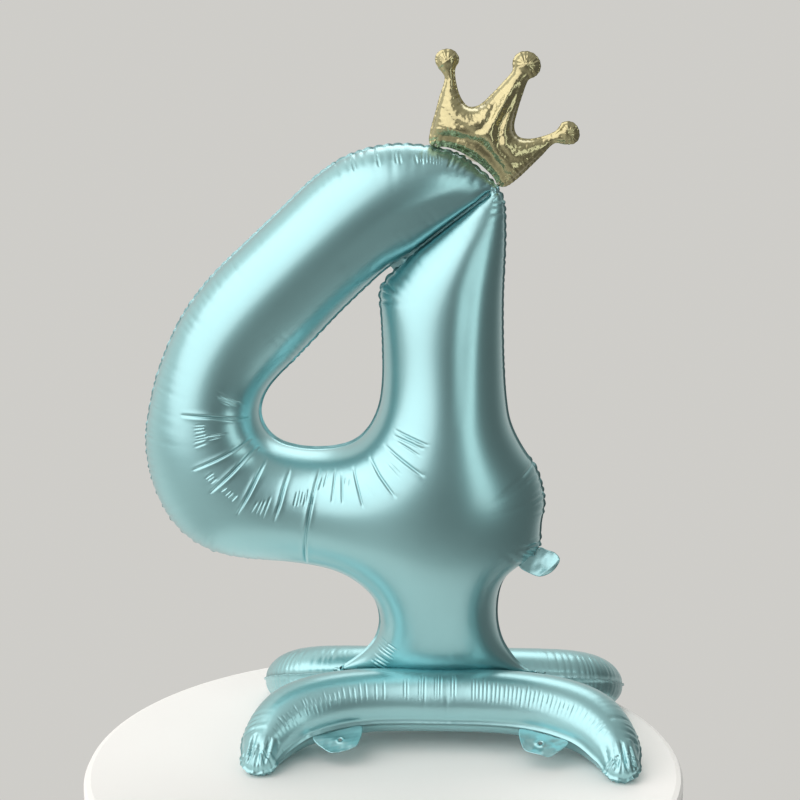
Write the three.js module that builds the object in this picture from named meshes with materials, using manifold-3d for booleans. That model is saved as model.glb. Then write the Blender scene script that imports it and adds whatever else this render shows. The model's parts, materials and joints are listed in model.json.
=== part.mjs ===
// Standing foil number balloon: a digit 4 of satin teal film, a gold crown on its apex and two
// arched foot tubes that hold it upright. Millimetres, +Z up, front face towards -Y, floor at Z = 0.
//
// Every inflated chamber is a pair of films welded flat along one outline. The films bulge as a
// membrane does under pressure: the bulge at a point is the square root of the solution of
// Poisson's equation over the chamber, which gives a strip a round section.

import * as THREE from 'three';
import { mergeVertices } from 'three/addons/utils/BufferGeometryUtils.js';
import Module from 'manifold-3d';

// ---- Driving dimensions ---------------------------------------------------------------------

const FILM = 1; // thickness that stands for one film
const SEAM_GAP = 0.3; // clearance between two films, and between touching pieces
const WELD = 5; // width of the flat weld flange along every outline
const VALVE_FILM = 0.4; // thickness of one ply of an inflation valve

const WELD_LINE_Z = 82.8; // height of the line where the digit and both feet join
const DIGIT_LIFT = 3.5; // the digit's bottom edge is this far above that line
const DIGIT_FULLNESS = 0.88; // bulge of the digit, where 1 is a round limb

const CROWN_BASE = [31.5, 687]; // middle of the crown's base, from the middle of the digit's bottom
const CROWN_TILT = 30.5; // lean of the crown towards the right, degrees
const CROWN_FULLNESS = 0.8;

const FOOT_TILT = 65; // slope of each foot's seam plane, degrees from vertical
const FOOT_RADIUS = 38; // radius of the foot tube over its middle
const TOE_RADIUS = 21; // radius of the tube at its toes

const TAB_WIDTH = 66; // width of an eyelet tab at its root
const TAB_TIP_WIDTH = 44;
const TAB_LENGTH = 32;
const TAB_ROOT = [135, -107]; // middle of a tab's root, in the foot's seam plane
const TAB_TURN = -19.5; // turn of a tab with the foot's inner edge, degrees
const TAB_RISE = 2.6; // the root follows the foot's edge, higher in the middle by this much
const EYELET_RADIUS = 2.75;
const EYELET_DROP = -15; // middle of the eyelet, below the tab's root

// The inflation tails and the valves inside the chambers.
const TAIL_ROOT = [116.5, 164.5]; // middle of the digit's tail root
const TAIL_TURN = 222; // direction that the digit's tail leaves in, degrees
const TAIL_CLEARANCE = 2;
const BASE_TAIL_DROP = 91.5; // distance of the base's tail below the weld line
const INFLATION_TAIL = { width: 36, length: 27, thickness: 0.6, curl: 35, flare: 0.95, skew: -0.33 };
const BASE_TAIL = { width: 30, length: 40, thickness: 0.6, curl: 0, flare: 0.9 };
const CROWN_TAIL = { width: 22, length: 34, thickness: 0.6, curl: 0, flare: 0.9 };
const VALVE = { width: 22, length: 60, thickness: VALVE_FILM, curl: 0, flare: 1 };
const CROWN_VALVE = { width: 14, length: 34, thickness: VALVE_FILM, curl: 0, flare: 1 };
const CROWN_TAIL_DROP = 6.5; // height of the crown's tail above the crown's base line
const GLUE_DOTS = { left: [-47.5, -3], right: [46, -4] }; // middles, in the crown's own frame
const GLUE_DOT_RADIUS = 2;

const TEAL = { color: 0x7fb5ba, metalness: 1, roughness: 0.32 };
const GOLD = { color: 0xccb873, metalness: 1, roughness: 0.12 };
const CLEAR = { color: 0xdfe6e8, metalness: 0, roughness: 0.25 };
const GLUE = { color: 0xe8e6da, metalness: 0, roughness: 0.4 };

const radians = THREE.MathUtils.degToRad;
const pairs = (list) => list.map(([x, y]) => new THREE.Vector2(x, y));

// ---- Outlines ---------------------------------------------------------------------------------

// The digit's edge, anticlockwise from the right end of its straight bottom to the left end,
// measured from the middle of that bottom.
const DIGIT_EDGE = [
  [140, 0], [111, 11], [96, 27], [84, 46], [77, 68], [75, 96], [80, 126],
  [90, 142], [103, 152], [129, 178], [132, 209], [136, 242], [131, 269], [123, 290], [111, 307],
  [99, 327], [89, 350], [84, 377], [80, 426], [78, 506], [80, 596], [77, 639], [69, 655],
  [57, 669], [40, 683], [20, 697], [-6, 705], [-38, 710], [-70, 710], [-102, 704], [-135, 691],
  [-167, 669], [-213, 627], [-259, 584], [-296, 549], [-324, 517], [-348, 482], [-367, 443],
  [-382, 403], [-392, 362], [-397, 332], [-397, 302], [-392, 270], [-382, 240], [-366, 211],
  [-345, 188], [-320, 172], [-290, 162], [-255, 157], [-216, 155], [-179, 151], [-152, 146],
  [-129, 137], [-110, 124], [-96, 109], [-88, 91], [-86, 69], [-93, 47], [-109, 28],
  [-128, 13], [-148, 0],
];
// The counter's edge, clockwise from the right of its apex round to the left of it.
const COUNTER_EDGE = [
  [-84, 522], [-83, 495], [-81, 451], [-81, 406], [-85, 373], [-97, 344], [-115, 325],
  [-138, 316], [-171, 313], [-198, 316], [-220, 324], [-234, 338], [-241, 357], [-238, 377],
  [-226, 398], [-203, 422], [-176, 450], [-137, 491], [-104, 523],
];
// The slit that parts the limb from the column, from the counter's apex to the digit's apex, with
// its half width at each point.
const SLIT = [[-78, 541, 4.2], [-57, 559, 2.8], [-25, 584, 2.2], [7, 609, 2], [40, 634, 1.8]];
const SLIT_END = [57, 647];

// Right half of the crown's edge, from the middle of its base to the middle of its tallest ball.
const CROWN_EDGE = [
  [0, 10.5], [22, 9], [38, 5], [49, -1], [57, 1], [64, 14], [69, 30], [75, 52], [82, 76],
  [93, 81], [103, 88], [105, 97], [98, 107], [87, 110], [77, 104], [75, 91], [64, 76],
  [50, 64], [37, 60], [27, 67], [19, 90], [14, 112], [12, 127], [17, 135], [18, 145],
  [12, 154], [0, 158],
];

// Right half of a foot tube's centre line, in its seam plane: distance from the middle, then
// distance down from the weld line, then the tube's radius.
const FOOT_SPINE = [
  [0, 46.5, FOOT_RADIUS], [60, 47, FOOT_RADIUS], [110, 51, 38.5], [155, 61, 40], [195, 81, 40],
  [216, 108, 35], [227, 135, 28], [231, 155, TOE_RADIUS],
];

const mirrored = (points) => points.slice(1, -1).reverse().map(([x, y]) => [-x, y]);

function smooth(points, closed) {
  const spatial = points.map(([x, y]) => new THREE.Vector3(x, y, 0));
  const curve = new THREE.CatmullRomCurve3(spatial, closed, 'centripetal');
  const count = Math.round(curve.getLength());
  const dense = curve.getSpacedPoints(count).map((p) => new THREE.Vector2(p.x, p.y));
  if (closed) dense.pop();
  return dense;
}

// Keeps the points of a dense closed line that are needed to hold its length and its turning.
function thinOut(dense, longest, sharpest) {
  const kept = [];
  let length = longest;
  let turning = 0;
  dense.forEach((point, i) => {
    const before = dense.at(i - 1);
    const after = dense[(i + 1) % dense.length];
    const arriving = point.clone().sub(before);
    const leaving = after.clone().sub(point);
    length += arriving.length();
    turning += Math.abs(Math.atan2(arriving.cross(leaving), arriving.dot(leaving)));
    if (length / longest + turning / radians(sharpest) >= 1) {
      kept.push(point);
      length = 0;
      turning = 0;
    }
  });
  return kept;
}

function digitOutline() {
  const bottom = smooth([DIGIT_EDGE.at(-1), DIGIT_EDGE[0]], false).slice(1, -1);
  return thinOut([...smooth(DIGIT_EDGE, false), ...bottom], 24, 26);
}

function counterOutline() {
  const tip = new THREE.Vector2(...SLIT_END);
  const centres = SLIT.map(([x, y]) => new THREE.Vector2(x, y));
  const side = (sign) => centres.map((centre, i) => {
    const along = (centres[i + 1] ?? tip).clone().sub(centre).normalize();
    const reach = sign * SLIT[i][2];
    return [centre.x - along.y * reach, centre.y + along.x * reach];
  });
  const edge = [...COUNTER_EDGE, ...side(1), SLIT_END, ...side(-1).reverse()];
  return thinOut(smooth(edge, true), 24, 40);
}

function crownOutline() {
  const edge = [...CROWN_EDGE, ...mirrored(CROWN_EDGE)];
  return thinOut(smooth(edge, true), 13, 32);
}

// A foot's edge runs round its spine at the tube's radius plus the flange, with round toes.
function footOutline() {
  const half = FOOT_SPINE.map((point) => new THREE.Vector3(...point));
  const whole = [...half.slice(1).reverse().map((p) => new THREE.Vector3(-p.x, p.y, p.z)), ...half];
  const spine = new THREE.CatmullRomCurve3(whole, false, 'centripetal').getSpacedPoints(300);
  const direction = (i) => {
    const ahead = spine[Math.min(i + 1, 300)];
    const behind = spine[Math.max(i - 1, 0)];
    return new THREE.Vector2(ahead.x - behind.x, behind.y - ahead.y).normalize();
  };
  const offset = (i, angle) => {
    const out = direction(i).rotateAround(new THREE.Vector2(), angle);
    const reach = spine[i].z + WELD;
    return new THREE.Vector2(spine[i].x + out.x * reach, -spine[i].y + out.y * reach);
  };
  const along = [...spine.keys()];
  const turn = Array.from({ length: 60 }, (_, i) => Math.PI * (i + 1) / 61);
  return thinOut([
    ...along.map((i) => offset(i, -Math.PI / 2)),
    ...turn.map((angle) => offset(300, angle - Math.PI / 2)),
    ...along.reverse().map((i) => offset(i, Math.PI / 2)),
    ...turn.map((angle) => offset(0, angle + Math.PI / 2)),
  ], 24, 30);
}

// ---- Meshing a chamber ------------------------------------------------------------------------

function distanceToLoops(point, loops) {
  let nearest = Infinity;
  for (const loop of loops) {
    loop.forEach((start, i) => {
      const span = loop[(i + 1) % loop.length].clone().sub(start);
      const offset = point.clone().sub(start);
      const share = THREE.MathUtils.clamp(offset.dot(span) / span.lengthSq(), 0, 1);
      nearest = Math.min(nearest, offset.distanceTo(span.multiplyScalar(share)));
    });
  }
  return nearest;
}

function inside(point, loops) {
  let crossings = 0;
  for (const loop of loops) {
    loop.forEach((a, i) => {
      const b = loop[(i + 1) % loop.length];
      if ((a.y > point.y) === (b.y > point.y)) return;
      if (point.x < a.x + (point.y - a.y) * (b.x - a.x) / (b.y - a.y)) crossings += 1;
    });
  }
  return crossings % 2 === 1;
}

// Points a given distance inside the loops, across from the loops' points and the middles of
// their sides. Where the chamber is too narrow for the distance, or the points would crowd, they
// are left out.
function insetRing(loops, distance, spacing) {
  const ring = [];
  const offer = (start, end, foot) => {
    const along = end.clone().sub(start).normalize();
    const inward = new THREE.Vector2(-along.y, along.x).multiplyScalar(distance);
    const candidate = foot.clone().add(inward);
    const clear = distanceToLoops(candidate, loops) > distance * 0.93;
    const apart = ring.every((other) => other.distanceTo(candidate) > spacing);
    if (clear && apart && inside(candidate, loops)) ring.push(candidate);
  };
  for (const loop of loops) {
    loop.forEach((point, i) => {
      const next = loop[(i + 1) % loop.length];
      offer(loop.at(i - 1), next, point);
      offer(point, next, point.clone().lerp(next, 0.5));
    });
  }
  return ring;
}

// Rows of points, each row shifted by half a step, over the middle of the chamber.
function middleGrid(loops, margin, step) {
  const box = new THREE.Box2().setFromPoints(loops[0]);
  const grid = [];
  const rise = step * Math.sqrt(3) / 2;
  for (let row = 0, y = box.min.y; y < box.max.y; row += 1, y += rise) {
    for (let x = box.min.x + (row % 2) * step / 2; x < box.max.x; x += step) {
      const point = new THREE.Vector2(x, y);
      if (inside(point, loops) && distanceToLoops(point, loops) > margin) grid.push(point);
    }
  }
  return grid;
}

const twiceArea = (a, b, c) => (b.x - a.x) * (c.y - a.y) - (b.y - a.y) * (c.x - a.x);

function addPoint(points, triangles, index) {
  const p = points[index];
  const hit = triangles.findIndex(([a, b, c]) => twiceArea(points[a], points[b], p) >= 0
    && twiceArea(points[b], points[c], p) >= 0 && twiceArea(points[c], points[a], p) >= 0);
  const [a, b, c] = triangles[hit];
  triangles.splice(hit, 1, [a, b, index], [b, c, index], [c, a, index]);
}

// Swaps the diagonals of triangle pairs until every pair meets the Delaunay rule.
function improve(points, triangles) {
  const tooFlat = (a, b, c, d) => {
    const corner = (p, q, r) => {
      const u = points[q].clone().sub(points[p]);
      const v = points[r].clone().sub(points[p]);
      return Math.atan2(Math.abs(u.cross(v)), u.dot(v));
    };
    return corner(c, a, b) + corner(d, a, b) > Math.PI + 1e-9;
  };
  for (let pass = 0, swaps = 1; pass < 200 && swaps > 0; pass += 1) {
    swaps = 0;
    const owner = new Map();
    const changed = new Set();
    for (let t = 0; t < triangles.length; t += 1) {
      for (let k = 0; k < 3 && !changed.has(t); k += 1) {
        const [a, b, c] = [0, 1, 2].map((n) => triangles[t][(k + n) % 3]);
        const other = owner.get(`${b},${a}`);
        owner.set(`${a},${b}`, [t, c]);
        if (!other || changed.has(other[0]) || !tooFlat(a, b, c, other[1])) continue;
        const [opposite, d] = other;
        if (twiceArea(points[c], points[a], points[d]) <= 0) continue;
        if (twiceArea(points[d], points[b], points[c]) <= 0) continue;
        triangles[t] = [c, a, d];
        triangles[opposite] = [d, b, c];
        changed.add(t).add(opposite);
        swaps += 1;
      }
    }
  }
}

// Solves Poisson's equation with a unit load over the triangles, zero at the fixed points.
function membrane(points, triangles, fixed) {
  const links = points.map(() => new Map());
  const load = points.map(() => 0);
  for (const triangle of triangles) {
    triangle.forEach((corner, k) => {
      const [i, j] = [triangle[(k + 1) % 3], triangle[(k + 2) % 3]];
      const u = points[i].clone().sub(points[corner]);
      const v = points[j].clone().sub(points[corner]);
      const weight = u.dot(v) / (2 * Math.abs(u.cross(v)));
      links[i].set(j, (links[i].get(j) ?? 0) + weight);
      links[j].set(i, (links[j].get(i) ?? 0) + weight);
      load[corner] += Math.abs(u.cross(v)) / 6;
    });
  }
  const value = points.map(() => 0);
  for (let sweep = 0; sweep < 600; sweep += 1) {
    for (let i = fixed; i < points.length; i += 1) {
      let total = load[i];
      let weights = 0;
      for (const [j, weight] of links[i]) {
        total += weight * value[j];
        weights += weight;
      }
      value[i] = total / weights;
    }
  }
  return value;
}

// A chamber: its points, triangles and the bulge of its films at every point.
function chamber(loops, fullness, step) {
  const [contour, ...holes] = loops;
  const weldRoot = insetRing(loops, WELD, step * 0.4);
  const shoulder = insetRing(loops, WELD + step * 0.42, step * 0.62);
  const middle = middleGrid(loops, WELD + step * 0.95, step);
  const edge = loops.flat();
  const points = [...edge, ...weldRoot, ...shoulder, ...middle];
  const triangles = THREE.ShapeUtils.triangulateShape(contour, holes);
  for (let i = edge.length; i < points.length; i += 1) {
    addPoint(points, triangles, i);
    if (i % 25 === 0) improve(points, triangles);
  }
  improve(points, triangles);
  const load = membrane(points, triangles, edge.length + weldRoot.length);
  const bulge = load.map((u) => fullness * Math.sqrt(2 * u));
  return { loops, points, triangles, bulge, fullness };
}

// ---- Solids -----------------------------------------------------------------------------------

function closedGeometry(positions, triangles) {
  const geometry = new THREE.BufferGeometry();
  geometry.setAttribute('position', new THREE.Float32BufferAttribute(positions.flat(), 3));
  geometry.setIndex(triangles.flat());
  return geometry;
}

// One film of a chamber: outer and inner faces of the bulge, joined along the flange's edges.
// side is 1 for the film above the seam plane and -1 for the one below it.
function filmGeometry({ loops, points, triangles, bulge, fullness }, side) {
  const count = points.length;
  const widest = Math.max(...bulge) / fullness;
  const thinning = fullness * fullness * 2 * widest * FILM;
  const inner = points.map((p, i) => {
    const hollow = Math.sqrt(Math.max(bulge[i] ** 2 - thinning, 0));
    return [p.x, p.y, side * (SEAM_GAP / 2 + hollow)];
  });
  const outer = points.map((p, i) => [p.x, p.y, side * (SEAM_GAP / 2 + FILM + bulge[i])]);
  const faces = triangles.flatMap(([a, b, c]) => [[a + count, b + count, c + count], [c, b, a]]);
  let start = 0;
  for (const loop of loops) {
    for (let i = 0; i < loop.length; i += 1) {
      const a = start + i;
      const b = start + (i + 1) % loop.length;
      faces.push([a, b, b + count], [a, b + count, a + count]);
    }
    start += loop.length;
  }
  const facing = side > 0 ? faces : faces.map(([a, b, c]) => [c, b, a]);
  return closedGeometry([...inner, ...outer], facing);
}

// A ply of thin film that leaves its root along +Y and curls about X by a total angle. lift moves
// the ply off the curl's middle surface, flare is the tip's width over the root's, and skew is
// how far the ply leans towards +X for each unit of its length.
function plyGeometry({ width, length, thickness, lift, curl, flare, skew = 0 }) {
  const across = 4;
  const steps = 7;
  const rows = [];
  let y = 0;
  let z = 0;
  for (let i = 0; i <= steps; i += 1) {
    const angle = radians(curl) * i / steps;
    const spread = width * (1 + (flare - 1) * i / steps);
    for (const level of [lift - thickness / 2, lift + thickness / 2]) {
      for (let k = 0; k <= across; k += 1) {
        const x = spread * (k / across - 0.5) + skew * y;
        rows.push([x, y - level * Math.sin(angle), z + level * Math.cos(angle)]);
      }
    }
    y += length / steps * Math.cos(angle);
    z += length / steps * Math.sin(angle);
  }
  const at = (i, level, k) => (i * 2 + level) * (across + 1) + k;
  const faces = [];
  const quad = (a, b, c, d) => faces.push([a, b, c], [a, c, d]);
  for (let i = 0; i < steps; i += 1) {
    for (let k = 0; k < across; k += 1) {
      quad(at(i, 1, k), at(i, 1, k + 1), at(i + 1, 1, k + 1), at(i + 1, 1, k));
      quad(at(i, 0, k), at(i + 1, 0, k), at(i + 1, 0, k + 1), at(i, 0, k + 1));
    }
    quad(at(i, 0, 0), at(i, 1, 0), at(i + 1, 1, 0), at(i + 1, 0, 0));
    quad(at(i, 0, across), at(i + 1, 0, across), at(i + 1, 1, across), at(i, 1, across));
  }
  for (let k = 0; k < across; k += 1) {
    quad(at(0, 0, k), at(0, 0, k + 1), at(0, 1, k + 1), at(0, 1, k));
    quad(at(steps, 0, k), at(steps, 1, k), at(steps, 1, k + 1), at(steps, 0, k + 1));
  }
  return closedGeometry(rows, faces);
}

// A tab of two fused films with a punched eyelet, from its root along -Y.
function tabGeometry() {
  const halfRoot = TAB_WIDTH / 2;
  const halfTip = TAB_TIP_WIDTH / 2;
  const corner = 6;
  const shape = new THREE.Shape(pairs([
    [-halfRoot, 0], [-halfTip, corner - TAB_LENGTH], [corner - halfTip, -TAB_LENGTH],
    [halfTip - corner, -TAB_LENGTH], [halfTip, corner - TAB_LENGTH], [halfRoot, 0],
    [halfRoot / 3, TAB_RISE], [-halfRoot / 3, TAB_RISE],
  ]));
  const eyelet = new THREE.Path().absarc(0, EYELET_DROP, EYELET_RADIUS, 0, 2 * Math.PI);
  shape.holes.push(eyelet);
  const geometry = new THREE.ExtrudeGeometry(shape, { depth: FILM, bevelEnabled: false, curveSegments: 5 });
  return geometry.translate(0, 0, -FILM / 2);
}

// ---- Cutting the toes flat --------------------------------------------------------------------

const wasm = await Module();
wasm.setup();

function toManifold(geometry) {
  const bare = geometry.clone();
  bare.deleteAttribute('normal');
  bare.deleteAttribute('uv');
  const merged = mergeVertices(bare);
  return new wasm.Manifold(new wasm.Mesh({
    numProp: 3,
    vertProperties: new Float32Array(merged.attributes.position.array),
    triVerts: new Uint32Array(merged.index.array),
  }));
}

function cutAway(geometry, tool) {
  const mesh = toManifold(geometry).subtract(toManifold(tool)).getMesh();
  const result = new THREE.BufferGeometry();
  result.setAttribute('position', new THREE.BufferAttribute(new Float32Array(mesh.vertProperties), 3));
  result.setIndex(new THREE.BufferAttribute(new Uint32Array(mesh.triVerts), 1));
  return result;
}

// The space under the floor, in a foot's own frame.
function underFloor() {
  const slab = new THREE.BoxGeometry(700, 500, 40).translate(0, 0, -20 - WELD_LINE_Z);
  return slab.rotateX(radians(FOOT_TILT - 90));
}

// ---- Assembly ---------------------------------------------------------------------------------

const standing = new THREE.Group();

function piece(parent, name, geometry, finish) {
  const mesh = new THREE.Mesh(geometry, new THREE.MeshStandardMaterial(finish));
  mesh.name = name;
  parent.add(mesh);
  return mesh;
}

function place(parent, x, y, turn) {
  const group = new THREE.Group();
  group.position.set(x, y, 0);
  group.rotation.z = radians(turn);
  parent.add(group);
  return group;
}

// Two plies, one on each side of the seam plane.
function plyPair(parent, names, finish, shape) {
  names.forEach((name, i) => {
    const lift = (i === 0 ? 1 : -1) * (SEAM_GAP + shape.thickness) / 2;
    piece(parent, name, plyGeometry({ ...shape, lift }), finish);
  });
}


// The digit stands in the XZ plane: its local Y is up and its local Z faces the front.
const digit = new THREE.Group();
digit.position.z = WELD_LINE_Z + DIGIT_LIFT;
digit.rotation.x = Math.PI / 2;
standing.add(digit);
const digitChamber = chamber([digitOutline(), counterOutline()], DIGIT_FULLNESS, 32);
piece(digit, 'digit_front_film', filmGeometry(digitChamber, 1), TEAL);
piece(digit, 'digit_rear_film', filmGeometry(digitChamber, -1), TEAL);

// The inflation tail leaves the low side of the right bulge, square to the edge there.
const tailRoot = place(digit, ...TAIL_ROOT, TAIL_TURN);
const tail = place(tailRoot, 0, TAIL_CLEARANCE, 0);
plyPair(tail, ['digit_tail_front_ply', 'digit_tail_rear_ply'], TEAL, INFLATION_TAIL);
const valve = place(tailRoot, 0, -WELD - 5, 180);
plyPair(valve, ['digit_valve_front_ply', 'digit_valve_rear_ply'], CLEAR, VALVE);

// The crown leans to the right on the digit's apex, held by a glue dot under each end of its base.
// Its own tail is folded back under it, over the digit's rear shoulder.
const crown = place(digit, ...CROWN_BASE, -CROWN_TILT);
const crownChamber = chamber([crownOutline()], CROWN_FULLNESS, 19);
piece(crown, 'crown_front_film', filmGeometry(crownChamber, 1), GOLD);
piece(crown, 'crown_rear_film', filmGeometry(crownChamber, -1), GOLD);
const crownValve = place(crown, 0, CROWN_EDGE[0][1] + WELD + 3, 0);
plyPair(crownValve, ['crown_valve_front_ply', 'crown_valve_rear_ply'], CLEAR, CROWN_VALVE);
const crownTail = new THREE.Group();
crownTail.position.set(0, CROWN_TAIL_DROP, -2);
crownTail.rotation.x = -Math.PI / 2;
crown.add(crownTail);
plyPair(crownTail, ['crown_tail_upper_ply', 'crown_tail_lower_ply'], GOLD, CROWN_TAIL);
for (const [side, [x, y]] of Object.entries(GLUE_DOTS)) {
  const bead = new THREE.SphereGeometry(GLUE_DOT_RADIUS, 12, 8).scale(1, 1, 2.2);
  piece(crown, `crown_glue_dot_${side}`, bead, GLUE).position.set(x, y, 0);
}

// Each foot slopes down and away from the weld line. The rear foot is the front one turned round.
const footChamber = chamber([footOutline()], 1, 26);
const outerFilm = filmGeometry(footChamber, 1);
const innerFilm = cutAway(filmGeometry(footChamber, -1), underFloor());
for (const [end, turn] of [['front', 0], ['rear', Math.PI]]) {
  const foot = new THREE.Group();
  foot.position.z = WELD_LINE_Z;
  foot.rotation.set(radians(90 - FOOT_TILT), 0, turn, 'ZYX');
  standing.add(foot);
  piece(foot, `${end}_foot_outer_film`, outerFilm, TEAL);
  piece(foot, `${end}_foot_inner_film`, innerFilm, TEAL);
  for (const [side, sign] of [['left', -1], ['right', 1]]) {
    const flip = end === 'rear' ? -sign : sign;
    const root = place(foot, flip * TAB_ROOT[0], TAB_ROOT[1], flip * TAB_TURN);
    piece(root, `${end}_${side}_eyelet_tab`, tabGeometry(), TEAL);
  }
  if (end === 'rear') {
    const baseTail = place(foot, 0, -BASE_TAIL_DROP, 180);
    plyPair(baseTail, ['base_tail_outer_ply', 'base_tail_inner_ply'], TEAL, BASE_TAIL);
    const baseValve = place(foot, 0, WELD + TAIL_CLEARANCE + 5 - BASE_TAIL_DROP, 0);
    plyPair(baseValve, ['base_valve_outer_ply', 'base_valve_inner_ply'], CLEAR, VALVE);
  }
}

standing.updateMatrixWorld(true);
const whole = new THREE.Box3().setFromObject(standing);
standing.position.x = -(whole.min.x + whole.max.x) / 2;
standing.position.y = -(whole.min.y + whole.max.y) / 2;
standing.updateMatrixWorld(true);
export default standing;
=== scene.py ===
import json
import math

import bpy
import numpy as np
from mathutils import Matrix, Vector
from mathutils.geometry import delaunay_2d_cdt
from mathutils.kdtree import KDTree


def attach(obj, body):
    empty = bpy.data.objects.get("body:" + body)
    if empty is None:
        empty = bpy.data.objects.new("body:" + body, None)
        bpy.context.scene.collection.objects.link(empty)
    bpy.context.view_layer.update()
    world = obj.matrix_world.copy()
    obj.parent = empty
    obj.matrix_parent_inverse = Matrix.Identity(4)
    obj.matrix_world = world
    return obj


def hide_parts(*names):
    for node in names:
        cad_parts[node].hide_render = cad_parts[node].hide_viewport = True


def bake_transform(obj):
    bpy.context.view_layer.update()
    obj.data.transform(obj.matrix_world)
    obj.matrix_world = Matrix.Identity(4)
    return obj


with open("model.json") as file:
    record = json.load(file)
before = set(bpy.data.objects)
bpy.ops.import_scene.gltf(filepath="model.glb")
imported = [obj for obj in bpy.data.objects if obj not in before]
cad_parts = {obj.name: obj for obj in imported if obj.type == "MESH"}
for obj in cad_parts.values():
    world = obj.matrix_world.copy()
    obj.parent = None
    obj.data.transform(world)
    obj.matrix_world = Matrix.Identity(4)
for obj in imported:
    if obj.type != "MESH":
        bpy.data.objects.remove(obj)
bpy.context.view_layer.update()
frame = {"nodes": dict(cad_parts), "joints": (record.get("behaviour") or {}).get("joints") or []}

nodes = frame["nodes"]
joints = {joint["name"]: joint for joint in frame["joints"]}

MM = 0.001
FLANGE = 2.3  # width of the weld flange that shows
HALF_GAP = 0.15  # from the seam plane to the inner face of a film
ROW_DEPTHS = (FLANGE, 3.0, 3.9, 4.9, 6.0, 7.2, 8.7, 10.4, 12.4, 14.6, 17)  # rows of mesh points
CURVE_SPAN = 18  # length over which an outline's curvature is averaged
CONVEX = 0.012  # curvature at which puckers have gained their full strength
BROAD = 6  # a crease wider than this is a soft fold without raised sides
INNER_CELL = 9.0  # spacing of the coarse points of a film's inner face

# ---- Seam planes and weld outlines ------------------------------------------------------------


class Seam:
    """A chamber's seam plane, with two directions in it and its normal."""

    def __init__(self, origin, across, up):
        self.origin = np.array(origin, float) / MM
        self.across = np.array(across, float)
        self.up = np.array(up, float)
        self.normal = np.cross(self.across, self.up)

    def flat(self, points):
        """Points in the seam plane's own directions, and their heights above it."""
        offset = points - self.origin
        return np.stack([offset @ self.across, offset @ self.up], 1), offset @ self.normal

    def place(self, flat, height):
        """Points in space, from points in the plane and heights above it."""
        return (self.origin + flat[:, :1] * self.across + flat[:, 1:2] * self.up
                + height[:, None] * self.normal)


def mesh_points(mesh):
    numbers = np.empty(len(mesh.vertices) * 3)
    mesh.vertices.foreach_get("co", numbers)
    return numbers.reshape(-1, 3) / MM


def outlines_of(node, seam, level=0.0):
    """The closed edges of a CAD node's flat face at that height above a seam plane, largest first."""
    mesh = nodes[node].data
    points = mesh_points(mesh)
    same = 0.01  # points closer than this are one corner
    keys = np.round(points / same).astype(np.int64)
    merged, index = np.unique(keys, axis=0, return_inverse=True)
    index = index.ravel()
    flat, height = seam.flat(merged * same)
    mating = np.abs(height - level) < HALF_GAP + 0.05
    following, rim = {}, set()  # the flat face's edges; edges of the walls and of the cut at the floor
    for face in mesh.polygons:
        corners = [index[v] for v in face.vertices]
        edges = list(zip(corners, corners[1:] + corners[:1]))
        if mating[corners].all():
            following.update(dict.fromkeys(edges))
        elif abs(face.normal @ Vector(seam.normal)) < 0.05 or face.normal.z < -0.99:
            rim.update(frozenset(edge) for edge in edges)
    step = {a: b for a, b in following if frozenset((a, b)) in rim}
    outlines = []
    while step:
        start = here = next(iter(step))
        outline = []
        while here in step:
            outline.append(flat[here])
            here = step.pop(here)
        outlines.append(np.array(outline))
    return sorted(outlines, key=lambda outline: -np.ptp(outline[:, 0]))


def smooth_outline(points, spacing):
    """A centripetal Catmull-Rom curve through a closed outline, in even steps, anticlockwise."""
    x, y = points.T
    if x @ np.roll(y, -1) < y @ np.roll(x, -1):
        points = points[::-1]
    knots = [np.roll(points, k, 0) for k in (1, 0, -1, -2)]
    gap = [np.sqrt(np.linalg.norm(knots[k + 1] - knots[k], axis=1))[:, None, None] for k in range(3)]
    knots = [knot[:, None, :] for knot in knots]
    time = [0, gap[0], gap[0] + gap[1], gap[0] + gap[1] + gap[2]]
    at = time[1] + gap[1] * np.linspace(0, 1, 30, endpoint=False)[None, :, None]

    def mix(before, after, start, end):
        return ((end - at) * before + (at - start) * after) / (end - start)

    sides = [mix(knots[k], knots[k + 1], time[k], time[k + 1]) for k in range(3)]
    bends = [mix(sides[0], sides[1], time[0], time[2]), mix(sides[1], sides[2], time[1], time[3])]
    dense = mix(bends[0], bends[1], time[1], time[2]).reshape(-1, 2)
    return even_steps(np.vstack([dense, dense[:1]]), spacing)[:-1]


def lengths_along(line):
    return np.r_[0, np.cumsum(np.linalg.norm(np.diff(line, axis=0), axis=1))]


def even_steps(line, spacing):
    """A line's points again, evenly spaced."""
    length = lengths_along(line)
    steps = max(2, round(length[-1] / spacing))
    at = np.linspace(0, length[-1], steps + 1)
    return np.stack([np.interp(at, length, line[:, k]) for k in (0, 1)], 1)


def sideways(line):
    """Unit vectors square to a line, on its left."""
    ahead = np.gradient(line, axis=0)
    return np.stack([-ahead[:, 1], ahead[:, 0]], 1) / np.linalg.norm(ahead, axis=1)[:, None]


# ---- Meshing a chamber ------------------------------------------------------------------------


def nearest(points, samples):
    """For every point the index of the nearest sample, and its distance."""
    tree = KDTree(len(samples))
    for i, (x, y) in enumerate(samples):
        tree.insert((x, y, 0), i)
    tree.balance()
    found = [tree.find((x, y, 0))[1:] for x, y in points]
    return np.array([i for i, _ in found]), np.array([d for _, d in found])


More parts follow.
